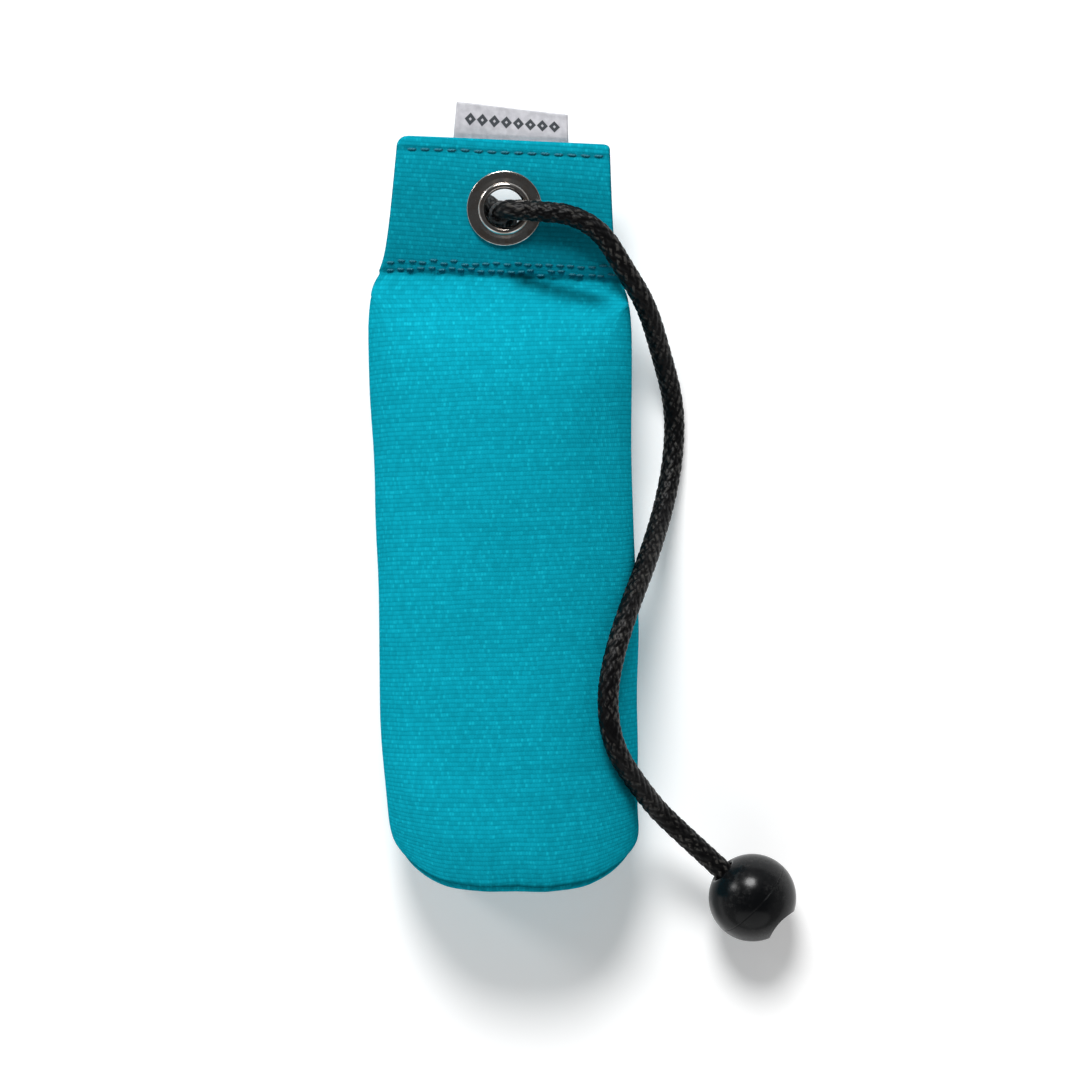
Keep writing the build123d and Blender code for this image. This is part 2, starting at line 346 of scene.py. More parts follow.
def body_heights(y):
    """Underside, widest line and top of the stuffed body."""
    d = SEAM_Y - y
    top = SEAM_Z + (BODY_TOP - SEAM_Z) * rise(d, 11)
    low = SEAM_Z - (SEAM_Z + 0.9) * rise(d, 10)
    wide = SEAM_Z - (SEAM_Z - BODY_WIDEST) * rise(d, 14)
    near_end = 1 - end_round(y)
    return low + 4.0 * near_end, wide + 2.4 * near_end, top - 2.6 * near_end


def inflated_loops(y, samples=720):
    """Each row's stuffed cross-section: a half ellipse on top and a flatter superellipse below.

    The point at turn t is the half width times the sine and the height times the cosine, the lower
    half with its powers brought down so that it lies flat on the floor."""
    t = np.linspace(0, np.pi, samples)
    low, wide, top = (h[:, None] for h in body_heights(y))
    half = body_half_width(y)[:, None]
    power = np.where(t > np.pi / 2, 2 / 2.7, 2 / 2.05)
    x = half * np.abs(np.sin(t)) ** power
    c = np.cos(t)
    z = wide + np.where(c > 0, (top - wide) * np.abs(c) ** power, -(wide - low) * np.abs(c) ** power)
    return x, z


# %% Grid positions round the loop
FRONT, GUSSET = 44, 11      # columns of half a face, and of one gusset panel
HALF_COLUMNS = 2 * FRONT + 2 * GUSSET
FACE_Z, FOLD_Z = 1.3, 0.42  # heights of a face and of a tucked panel over the tab's middle


def loop_share(width):
    """Distance round half the loop of each column, so that columns fall on every fold."""
    depth = (HALF_GIRTH - 2 * width) / 2
    a = np.arange(FRONT) / FRONT
    g = np.arange(GUSSET) / GUSSET
    w, d = width[:, None], depth[:, None]
    last = np.full_like(w, HALF_GIRTH)
    return np.concatenate([a * w, w + g * d, w + d + g * d, w + 2 * d + a * w, last], 1)


def folded_half(s, width):
    """The flat loop at distance s: out over the face, in and out over the gusset, back under."""
    w = width[:, None]
    d = (HALF_GIRTH - 2 * w) / 2
    panels = [s < w, s < w + d, s < w + 2 * d]
    x = np.select(panels, [s, 2 * w - s, s - 2 * d], 2 * w + 2 * d - s)
    layer = np.select(panels, [FACE_Z, FOLD_Z, -FOLD_Z], -FACE_Z)
    turn_z = (FACE_Z + FOLD_Z) / 2
    for fold, height in ((w, turn_z), (w + d, 0.0), (w + 2 * d, -turn_z)):
        share = hump(s, fold, 0.5)
        layer = layer * (1 - share) + height * share
    return x, layer


def inflated_half(s, y):
    """The stuffed loop at the same share of its own length."""
    x, z = inflated_loops(y)
    steps = np.hypot(np.diff(x, axis=1), np.diff(z, axis=1))
    gone = np.concatenate([np.zeros((len(y), 1)), np.cumsum(steps, 1)], 1)
    share = s / HALF_GIRTH * gone[:, -1:]
    rows = [(np.interp(share[i], gone[i], x[i]), np.interp(share[i], gone[i], z[i])) for i in range(len(y))]
    return np.array([r[0] for r in rows]), np.array([r[1] for r in rows])


# %% [markdown]
# ## Folds and dents of the cloth
# The filling pushes evenly, but the seams hold the cloth short, so it puckers beside them. A noise
# texture would dent it everywhere alike. These small moves of the surface's height are instead
# sums of waves that die away from the seam, and a few single folds where the tab pulls.


# %% Cloth details
def tab_middle(x, y):
    """Height of the tab's middle: a slope that is steepest just above the seam, with soft corners."""
    up = np.maximum(y - SEAM_Y, 0)
    slope = up * math.tan(TAB_RISE)
    dip = -2.6 * np.exp(-up / 5.5)
    away = 1 - hump(np.hypot(x - EYELET[0], y - EYELET[1]), 0, 14)
    wave = 0.45 * np.sin(x / 11 + 0.6) * np.sin(up / 9)
    droop = -2.2 * ease((up - 24) / 22) - 0.7 * ease((np.abs(x) - 14) / 18) * ease(up / 30)
    return SEAM_Z + slope + dip + away * (wave + droop)


def pucker(x, y):
    """Gathers under the tab's seam and above the end seam, fading away from both."""
    d = SEAM_Y - y
    e = y - END_Y
    upper = np.exp(-d / 5.0) * (0.30 * np.sin(x * 0.93 + 0.4) + 0.22 * np.sin(x * 1.71 + 1.9))
    lower = np.exp(-e / 4.5) * (0.22 * np.sin(x * 1.05 + 0.3) + 0.16 * np.sin(x * 1.9 + 2.2))
    return upper * (d > 0) + lower


def side_fold(x, y):
    """1 along the fold that leaves the seam to the right of the middle, on a bending slanted line."""
    line = 62.1 - 0.34 * (x - 2.2) + 0.0028 * (x - 2.2) ** 2
    return hump(y - line, 0, 2.3) * ease((x + 2) / 9) * (1 - ease((x - 25) / 8))


def pulled_folds(x, y):
    """Long soft folds that run from the seam into the body, each a bell across a slanting line."""
    d = SEAM_Y - y
    valley = -2.1 * side_fold(x, y)
    ridge = 0.9 * hump(y, 58.4, 2.2) * hump(x, 27.3, 4)
    left = -1.3 * hump(x + 0.25 * d, -24, 7) * hump(d, 12, 9)
    right = 0.5 * hump(x - 0.3 * d, 27, 3.2) * hump(d, 16, 12)
    return (valley + ridge + left + right) * ease(d / 2.0)


def unevenness(turn, y):
    """The filling's lumps: slow waves round and along the body."""
    a = 2 * np.pi * turn
    waves = 0.34 * np.sin(a + y / 21 + 0.8) + 0.26 * np.sin(2 * a - y / 15 + 2.0)
    waves = waves + 0.2 * np.sin(3 * a + y / 11)
    fine = 0.10 * np.sin(5 * a - y / 6.5 + 1.0) + 0.08 * np.sin(4 * a + y / 5.2 + 2.5)
    return (waves + fine) * ease((SEAM_Y - y) / 25) * ease((y - END_Y) / 16)


# %% Rows of the canvas grid
def spaced(start, stop, step):
    """Even places from start to stop, about a step apart, without the last."""
    count = max(2, int(round(abs(stop - start) / step)))
    return np.linspace(start, stop, count, endpoint=False)


rows_y = np.concatenate([
    [TOP_Y - 1.6, TOP_Y - 0.25],
    spaced(TOP_Y, TOP_Y - 1.2, 0.2),
    spaced(TOP_Y - 1.2, TOP_Y - 5.4, 0.35),
    spaced(TOP_Y - 5.4, SEAM_Y + 5.0, 0.9),
    spaced(SEAM_Y + 5.0, SEAM_Y - 2.0, 0.33),
    spaced(SEAM_Y - 2.0, SEAM_Y - 28.0, 0.6),
    spaced(SEAM_Y - 28.0, END_Y + 24.0, 1.15),
    spaced(END_Y + 24.0, END_Y, 0.45),
    [END_Y],
])
print("canvas rows", len(rows_y), "columns", 2 * HALF_COLUMNS)


TAB_SLANT = 0.043       # the tab's seams fall this much to the right for each millimetre across
END_CURL = 11.0         # how far the end seam's sides curl up the body


def tab_half_widths(y):
    """Left and right half width of the folded tab, its free corners rounded."""
    up = np.clip((y - SEAM_Y) / (TOP_Y - SEAM_Y), 0, 1)
    above = np.maximum(y - SEAM_Y, 0)
    left = 29.7 + 3.6 * (1 - up) + 1.5 * np.exp(-above / 7)
    right = 30.3 + 1.3 * (1 - up) + 2.8 * np.exp(-above / 5.5)
    from_top = np.maximum(TOP_Y - y, 0)
    cut = [r - np.sqrt(np.maximum(r * r - np.maximum(r - from_top, 0) ** 2, 0)) for r in (3.0, 1.6)]
    return left - cut[0], right - cut[1]


def half_loop(y, width, sign):
    """One side of every row, from the middle of the front to the middle of the back."""
    s = loop_share(width)
    fold_x, layer = folded_half(s, width)
    full_x, full_z = inflated_half(s, y)
    d = (SEAM_Y - y)[:, None]
    blend = 1 - np.exp(-(np.maximum(d, 0) / 8) ** 1.4)
    from_top = np.maximum(TOP_Y - y, 0)[:, None]
    round_top = np.sqrt(1 - np.clip(1 - from_top / 1.1, 0, 1) ** 2)
    hem = 1 + 0.22 * ease((3.4 - from_top) / 0.8)
    thick = hem * (0.42 + 0.58 * round_top)
    thick[:2] = [[0.0], [0.2]]      # inside the top edge the two faces meet, so the tube is closed
    layer = layer * thick
    shoulder = 2.2 * hump(y, 66.5, 4.5)[:, None] * (layer < 0) if sign > 0 else 0
    x = (1 - blend) * (fold_x + shoulder) + blend * full_x
    wanted = body_half_width(y)[:, None]
    x = sign * np.where(d > 0, x * (1 + rise(d, 0.8) * (wanted / x.max(1, keepdims=True) - 1)), x)
    x = x + body_middle(y)[:, None] * ease((SEAM_Y - y + 6) / 12)[:, None]
    z = (1 - blend) * (tab_middle(x, y[:, None] + 0 * x) + layer) + blend * full_z
    return x, z, s


def canvas_grid(y):
    """The whole loop of every row: right half out and round, then left half back to the front."""
    left, right = tab_half_widths(y)
    rx, rz, rs = half_loop(y, right, 1)
    lx, lz, ls = half_loop(y, left, -1)
    x = np.concatenate([rx[:, :-1], lx[:, :0:-1]], 1)
    z = np.concatenate([rz[:, :-1], lz[:, :0:-1]], 1)
    yy = y[:, None] + 0 * x
    turn = np.arange(x.shape[1])[None] / x.shape[1]
    front = ease((z - body_heights(y)[1][:, None]) / 6 + 0.5)
    in_body = ease((SEAM_Y - yy) / 6)
    outward = (x - body_middle(y)[:, None]) / body_half_width(y)[:, None]
    facing = np.where(front > 0.5, 1, -1)
    z = z + pulled_folds(x, yy) * front + pucker(x, yy) * facing
    swell = unevenness(turn, yy)
    x = x + swell * outward * in_body
    z = z + swell * np.sqrt(np.clip(1 - outward ** 2, 0, 1)) * facing * in_body
    slant = -TAB_SLANT * x * (1 - ease((SEAM_Y - yy) / 26))
    corner = 1 - (1 - np.clip(np.abs(outward), 0, 1) ** 3) ** 0.714
    gathered = END_CURL * corner + 0.22 * np.sin(x / 5.1 + 1.1) + 0.12 * np.sin(x / 2.3)
    end_curl = (gathered - 0.2) * np.exp(-(yy - END_Y) / 13.5)
    yy = yy + slant + end_curl
    z = np.maximum(z, FLOOR_GAP)
    return np.stack([x, yy, z], -1), rs, -ls[:, ::-1]


def weave_uv(s, y):
    """Corner UVs in metres: u round the loop, v along the body, slanted as the cloth's rows are."""
    slope = -0.030 + 0.055 * ease((y - SEAM_Y + 6) / 12)
    return grid_uv(s * MM, (y[:, None] + slope[:, None] * s) * MM)


cover_points, right_s, left_s = canvas_grid(rows_y)
cover_uv = np.concatenate([weave_uv(right_s, rows_y), weave_uv(left_s, rows_y)], 1)
centre = (cover_points[:-1] + cover_points[1:]) / 2
centre = (centre + np.roll(centre, -1, 1)) / 2
off_hole = np.hypot(centre[..., 0] - EYELET[0], centre[..., 1] - EYELET[1]) > CLOTH_HOLE_R
canvas = surface("canvas_tube", cover_points, closed=True, uv=cover_uv, keep=off_hole, flip=True)
print("canvas faces", len(canvas.data.polygons))
print("canvas reaches", cover_points.min((0, 1)).round(1), cover_points.max((0, 1)).round(1))

# %% [markdown]
# ## End disc
# The far end is a round of the same canvas sewn into the tube. It bulges a little under the
# filling, and its edge rolls over into the seam. A flat cap would show no seam, so the disc is
# made of shrinking copies of the tube's last row: they meet it exactly, and roll first.

# %% End disc
ring = cover_points[-1]
ring_middle = ring.mean(0)
DISC_R = 30.0
from_edge = np.r_[np.linspace(0, 2.4, 12), np.linspace(3.2, DISC_R, 24)]     # mm in from the seam
share = np.clip(1 - from_edge / DISC_R, 0, 1)
roll = 1.3 * np.sqrt(1 - (1 - np.clip(from_edge / 2.2, 0, 1)) ** 2) + 0.5 * (1 - share ** 2)
disc_points = ring_middle + (ring - ring_middle)[None] * share[:, None, None]
flat_y = END_Y - 0.3
beside = np.clip(np.abs(ring[:, 0] - ring_middle[0]) / END_HALF_WIDTH, 0, 1)
rolled = roll[:, None] * (1 - 0.95 * beside[None] ** 6 * share[:, None] ** 6)
tucked = 0.4 * (from_edge == 0)[:, None]        # the raw edge goes in behind the seam
disc_points[..., 1] = flat_y + (ring[:, 1] - flat_y)[None] * share[:, None] ** 4 - rolled + tucked
across_and_up = (np.concatenate([disc_points[..., k], disc_points[:, :1, k]], 1) * MM for k in (0, 2))
disc_uv = grid_uv(*across_and_up)
end_disc = surface("end_disc_cloth", disc_points, closed=True, uv=disc_uv, flip=True)
print("disc reaches y", disc_points[..., 1].min().round(2))

# %% [markdown]
# ## Thread
# A lockstitch shows as a row of short threads on each face. A drawn pattern would stay flat from
# the side, so each stitch is a small capsule of thread, bent into an arch so that its ends go into
# the cloth. Its place is found by dropping a ray onto the canvas from above or below.

# %% Stitches
cloth_faces = grid_faces(*cover_points.shape[:2], True)[off_hole.ravel()]
canvas_tree = BVHTree.FromPolygons((cover_points.reshape(-1, 3) * MM).tolist(), cloth_faces.tolist())


def on_canvas(x, y, side):
    """Height of the canvas at each x and y, seen from above (side 1) or from below (side -1)."""
    heights = []
    for px, py in zip(x, y):
        hit = canvas_tree.ray_cast((px * MM, py * MM, side * 0.1), (0, 0, -side))[0]
        heights.append(hit.z / MM if hit else SEAM_Z)
    return np.array(heights)


STITCH_RINGS, STITCH_SIDES = 9, 8


def capsules(name, starts, ends, ups, radius, arch):
    """One mesh of many arched capsules: a ring swept from start to end, its line lifted by a half sine."""
    t = np.linspace(0, 1, STITCH_RINGS)
    turn = np.arange(STITCH_SIDES) / STITCH_SIDES * 2 * np.pi
    along = ends - starts
    length = np.linalg.norm(along, axis=1)[:, None]
    along = along / length
    side = np.cross(along, ups)
    line = starts[:, None] + along[:, None] * (t * length)[..., None]
    line = line + ups[:, None] * (arch * np.sin(np.pi * t) - arch * 0.25)[None, :, None]
    fat = radius * np.sqrt(np.clip(1 - (2 * t - 1) ** 4, 0.0, 1))
    ring = np.cos(turn)[:, None] * side[:, None, None] + np.sin(turn)[:, None] * ups[:, None, None]
    points = line[:, :, None] + fat[None, :, None, None] * ring
    faces = grid_faces(len(t), len(turn), True)
    first = np.arange(len(starts)) * STITCH_RINGS * STITCH_SIDES
    every = (faces[None] + first[:, None, None]).reshape(-1, 4)
    round_it, along_it = np.meshgrid(np.arange(STITCH_SIDES + 1) / STITCH_SIDES, t * 0.003)
    uv = np.tile(grid_uv(round_it, along_it).reshape(-1, 2), (len(starts), 1))
    return new_object(name, points.reshape(-1, 3), every[:, ::-1].tolist(), uv)


def stitch_row(left, right, pitch, length, wander, seed):
    """Starts and ends of a row of stitches, on both faces of the tab."""
    draw = np.random.default_rng(seed)
    left, right = np.array(left, float), np.array(right, float)
    count = int(np.linalg.norm(right - left) / pitch)
    t = (np.arange(count) + 0.5) / count
    middle = left + (right - left) * t[:, None] + draw.normal(0, wander, (count, 2)) * [0.5, 1]
    half = (right - left) / np.linalg.norm(right - left) * length / 2
    half = half + draw.normal(0, 0.05, (count, 2)) * [0, 1]
    rows = []
    for side in (1, -1):
        a, b = middle - half, middle + half
        za, zb = (on_canvas(p[:, 0], p[:, 1], side) for p in (a, b))
        rows.append((np.c_[a, za], np.c_[b, zb], np.tile([0.0, 0.0, float(side)], (count, 1))))
    return rows


# Each row: left end, right end, pitch, length of a stitch, wander, seed.
TOP_ROW = [((-27.6, 98.1), (29.0, 95.8), 3.6, 2.9, 0.05, 3)]
BASE_ROWS = [
    ((-33.2, 66.6), (32.8, 64.8), 2.9, 2.4, 0.3, 5),
    ((-33.0, 64.5), (32.2, 62.6), 2.8, 2.3, 0.35, 8),
]
THREAD_R, STITCH_ARCH = 0.34, 0.38


def thread(name, rows):
    """One object of thread for all the rows given."""
    parts = [part for row in rows for part in stitch_row(*row)]
    starts, ends, ups = (np.concatenate([part[k] for part in parts]) for k in range(3))
    return capsules(name, starts, ends, ups, THREAD_R, STITCH_ARCH)


top_thread = thread("top_edge_thread", TOP_ROW)
base_thread = thread("tab_base_thread", BASE_ROWS)
print("stitch faces", len(top_thread.data.polygons) + len(base_thread.data.polygons))

# %% [markdown]
# ## Label
# A woven ribbon folded in two, its cut ends caught in the tab's top seam. A thin box would have no
# fold and no inside, so it is one strip: up from the seam, round a tight fold and back down, with
# a modifier for its thickness. The marks on it are plain lozenges.

# %% Label
LABEL_FLAT = (32.0, 26.0)       # its size before it was folded
LEFT_FOOT, LEFT_TOP = np.array([-14.2, 98.6]), np.array([-13.0, 111.2])
RIGHT_FOOT, RIGHT_TOP = np.array([18.7, 97.0]), np.array([18.4, 107.6])


def label_grid():
    """Rows follow the strip's length, columns its width: front layer, half circle, back layer."""
    across = np.linspace(0, 1, 60)
    reach = np.r_[np.linspace(0, 0.975, 34), 0.985, 0.995, 1.0, 0.995, 0.985, np.linspace(0.975, 0, 34)]
    side = np.r_[np.ones(34), 0.8, 0.45, 0, -0.45, -0.8, -np.ones(34)]
    a, r = np.meshgrid(across, reach)
    foot = LEFT_FOOT + (RIGHT_FOOT - LEFT_FOOT) * a[..., None]
    top = LEFT_TOP + (RIGHT_TOP - LEFT_TOP) * a[..., None]
    xy = foot + (top - foot) * r[..., None]
    bulge = 0.22 + 0.5 * np.sin(np.pi * np.clip(r, 0, 1)) ** 2
    wave = 0.5 * np.sin(a * 5.2 + 0.8) * r + 0.25 * np.sin(a * 9.0) * r
    straight_y = xy[..., 1] + TAB_SLANT * xy[..., 0]
    past = np.maximum(straight_y - TOP_Y, 0)
    middle = tab_middle(xy[..., 0], np.minimum(straight_y, TOP_Y)) + 0.03 * past + wave * ease(past / 4)
    z = middle + side[:, None] * bulge * (0.3 + 0.7 * ease(past / 1.5))
    return np.concatenate([xy, z[..., None]], -1), a


label_points, label_across = label_grid()
middle_column = label_points[:, label_points.shape[1] // 2]
strip = np.cumsum(np.r_[0, np.linalg.norm(np.diff(middle_column, axis=0), axis=1)])
label_uv = grid_uv(label_across * LABEL_FLAT[0] * MM, (strip[:, None] + 0 * label_across) * MM)
label = surface("woven_ribbon", label_points, uv=label_uv)
thicken = label.modifiers.new("thickness", "SOLIDIFY")
thicken.thickness = 0.28 * MM
thicken.offset = 0
print("label strip", round(strip[-1], 1), "mm")

# %% [markdown]
# ## Turned pieces
# The eyelet, the ball and the melted bead are all shapes turned round an axis. Primitive rings and
# spheres joined together would leave hard creases where they meet. One profile of radius and
# height, swept through a full turn, is a single skin with its own soft corners.


# %% Turned surface
def turned(name, profile, origin, axis, around=128, ripple=None):
    """Sweeps a profile of (radius, height) round an axis; ripple(turn, height) is a share of the radius."""
    axis = np.asarray(axis, float) / np.linalg.norm(axis)
    side = np.cross([0.0, 0.0, 1.0] if abs(axis[2]) < 0.9 else [1.0, 0.0, 0.0], axis)
    side /= np.linalg.norm(side)
    up = np.cross(axis, side)
    turn = np.arange(around) / around * 2 * np.pi
    radius, height = np.asarray(profile, float).T
    radius = radius[:, None] * (1 + (0 if ripple is None else ripple(turn[None], height[:, None])))
    ring = np.cos(turn)[:, None] * side + np.sin(turn)[:, None] * up
    grid = np.asarray(origin) + radius[..., None] * ring[None] + height[:, None, None] * axis
    gone = np.r_[0, np.cumsum(np.hypot(*np.diff(np.asarray(profile, float), axis=0).T))]
    u, v = np.meshgrid(np.arange(around + 1) / around, gone * MM)
    return surface(name, grid, closed=True, uv=grid_uv(u, v))


def rounded(corners, radius, steps=6):
    """A closed profile through the corners, each one cut off by a small arc."""
    corners = np.asarray(corners, float)
    before, after = np.roll(corners, 1, 0), np.roll(corners, -1, 0)
    out = []
    for b, c, a in zip(before, corners, after):
        cut = [min(radius, np.linalg.norm(p - c) * 0.45) for p in (b, a)]
        start = c + (b - c) / np.linalg.norm(b - c) * cut[0]
        stop = c + (a - c) / np.linalg.norm(a - c) * cut[1]
        t = np.linspace(0, 1, steps)[:, None]
        out.append((1 - t) ** 2 * start + 2 * t * (1 - t) * c + t ** 2 * stop)
    out = np.concatenate(out)
    return np.concatenate([out, out[:1]])


# %% [markdown]
# ## Eyelet
# A brass eyelet plated with nickel: a barrel goes through both faces of the tab, its flange lies
# at the back, and its front end is rolled over a conical washer.

# %% Eyelet
tab_normal = np.array([0, -math.sin(TAB_RISE), math.cos(TAB_RISE)])
eyelet_at = np.array([EYELET[0], EYELET[1], EYELET_Z])
flange_corners = [(5.5, -1.2), (6.2, -2.1), (10.2, -2.1), (10.2, -1.6), (6.3, -1.55), (6.0, -1.2)]
lip_corners = [(6.0, 2.45), (7.2, 2.5), (7.5, 2.8), (7.1, 3.25), (6.35, 3.4), (5.7, 3.15), (5.5, 2.6)]
washer_corners = [
    (6.15, 1.6), (10.3, 1.55), (10.65, 1.66), (10.62, 1.95), (10.3, 2.08), (9.9, 1.99),
    (8.6, 2.08), (7.6, 2.3), (6.15, 2.45)]
ROLLED_R, STAMPED_R = 0.55, 0.16        # how soft the corners of each ring are
barrel_profile = rounded(flange_corners + lip_corners, ROLLED_R)
barrel = turned("eyelet_barrel_metal", barrel_profile, eyelet_at, tab_normal)
washer = turned("eyelet_washer_metal", rounded(washer_corners, STAMPED_R), eyelet_at, tab_normal)

# %% [markdown]
# ## Knot
# Behind the tab the cord ends in an overhand knot too big for the eyelet. A lump of the right size
# would pass from afar, but the eyelet's hole shows its strands. Its line is a trefoil, which winds
# twice round a ring while it goes three times through the hole, opened where the cord comes in
# and the tail goes out.

# %% Knot
KNOT_AT = np.array([-3.4, 79.2, 10.9])
TAIL_DIR = np.array([-0.82, -0.42, -0.34]) / np.linalg.norm([-0.82, -0.42, -0.34])


def smooth_line(points, passes):
    """Each point moves to the average of itself and its neighbours, again and again."""
    for _ in range(passes):
        points[1:-1] = (points[:-2] + 2 * points[1:-1] + points[2:]) / 4
    return points


t = np.linspace(0.42, 2 * np.pi - 0.42, 160)
ring_r = 3.2 + 2.1 * np.cos(3 * t)
trefoil = np.stack([ring_r * np.cos(2 * t), ring_r * np.sin(2 * t), 2.25 * np.sin(3 * t)], -1)
knot_axes = np.array([[-0.62, -0.60, 0.50], [0.70, -0.71, 0.02], [0.34, 0.36, 0.87]])
trefoil = trefoil @ knot_axes + KNOT_AT
tail_end = KNOT_AT + TAIL_DIR * 17.0
head = even_line(np.array([ROUTE[0] + [0.1, 0.1, 2.0], ROUTE[0], trefoil[0]]), CORD_STEP)[0]
tail = even_line(np.array([trefoil[-1], KNOT_AT + TAIL_DIR * 8.5, tail_end]), CORD_STEP)[0]
knot_line = np.concatenate([head[:-1], trefoil, tail[1:]])
knot_line, knot_gone = even_line(smooth_line(knot_line, 30), CORD_STEP)
KNOT_CORE_R, KNOT_RELIEF = 2.35, 0.35       # pulled tight, the cord is thinner here
knot = braided_tube("overhand_knot", knot_line, KNOT_CORE_R, KNOT_RELIEF)

# A small spindle of cord colour fills the knot's middle, so that no light comes through.
spindle = [(0, -5.0), (2.5, -4.4), (4.3, -2.6), (5.0, 0), (4.3, 2.6), (2.5, 4.4), (0, 5.0)]
core = turned("knot_core", spindle, KNOT_AT, TAIL_DIR, 32)
lowest = knot_line[:, 2].min() - KNOT_CORE_R
print("cord in the knot", round(knot_gone[-1], 1), "mm, lowest", round(lowest, 2))

# %% [markdown]
# ## Ball and bead
# The ball is moulded in two halves and slides on the cord. The cord's end is melted into a bead
# that stops in the ball's mouth. A plain sphere would hide the bore, the recess and the line
# where the halves meet, so each half is turned from a profile that has them.

# %% Ball
BORE_R, RECESS_R, MOUTH_DEPTH = 3.35, 5.3, 6.0


def ball_arc(low, high, steps):
    """Points (radius, height) on the ball between two angles from the cord's side, in degrees."""
    a = np.radians(np.linspace(low, high, steps))
    return np.stack([BALL_R * np.sin(a), -BALL_R * np.cos(a)], -1)


def entry_curve():
    """The rounded way in to the bore: a quarter ellipse from the bore out to the ball's skin."""
    a = np.linspace(0, np.pi / 2, 10)
    return np.stack([BORE_R + 0.9 * (1 - np.cos(a)), -11.1 - 0.65 * np.sin(a)], -1)


PARTING = 0.02              # half the gap between the halves
GROOVE = (0.996, 1)         # the parting line is sunk by this share of the radius
cord_profile = np.concatenate([
    [(BORE_R, -PARTING)], entry_curve(), ball_arc(21.5, 89.7, 60),
    ball_arc(89.85, 89.85, 1) * GROOVE, [(BORE_R, -PARTING)]])
recess = [(5.62, 11.25), (5.42, 11.1), (RECESS_R, 10.8), (RECESS_R, MOUTH_DEPTH + 0.3),
          (RECESS_R - 0.3, MOUTH_DEPTH), (BORE_R, MOUTH_DEPTH)]
mouth_profile = np.concatenate([
    [(BORE_R, PARTING)], ball_arc(90.15, 90.15, 1) * GROOVE, ball_arc(90.3, 152.5, 90),
    recess, [(BORE_R, PARTING)]])
ball_cord_side = turned("ball_cord_side", cord_profile, BALL_AT, ball_dir, 160)
ball_mouth_side = turned("ball_mouth_side", mouth_profile, BALL_AT, ball_dir, 200)

# The mouth is hollowed by a round notch across it: nothing stands out past a cylinder's side.
NOTCH_R, NOTCH_AT = 11.6, 10.0
flat = np.zeros(len(ball_mouth_side.data.vertices) * 3)
ball_mouth_side.data.vertices.foreach_get("co", flat)
mouth = flat.reshape(-1, 3) / MM - BALL_AT
forward = ball_dir * [1, 1, 0] / np.linalg.norm(ball_dir[:2])
sideways = np.cross([0.0, 0.0, 1.0], forward)
out, across = mouth @ forward, mouth @ sideways
limit = NOTCH_AT + NOTCH_R - np.sqrt(np.maximum(NOTCH_R ** 2 - across ** 2, 0))
mouth = mouth - np.maximum(out - limit, 0)[:, None] * forward
ball_mouth_side.data.vertices.foreach_set("co", ((mouth + BALL_AT) * MM).ravel())
ball_mouth_side.data.update()


def melted(turn, height):
    """Share by which the melted end's radius differs from round: slow waves, none on its flat face."""
    waves = 0.037 * np.sin(3 * turn + 0.7) + 0.023 * np.sin(7 * turn + height)
    return waves * (height > BEAD_START + 0.02)


bead_profile = np.array([
    (0, 0), (2.6, 0), (4.1, 0.04), (4.42, 0.4), (4.45, 1.1),
    (4.2, 1.9), (3.5, 2.5), (2.2, 2.85), (0.9, 2.95), (0, 2.97)]) + [0, BEAD_START]
bead = turned("melted_bead", bead_profile, BALL_AT, ball_dir, 96, ripple=melted)

# %% [markdown]
# ## Materials
# Every material is a recipe of nodes. A small class lets each one read like a formula: a call
# makes a node, and its answer is a socket that goes into the next call.


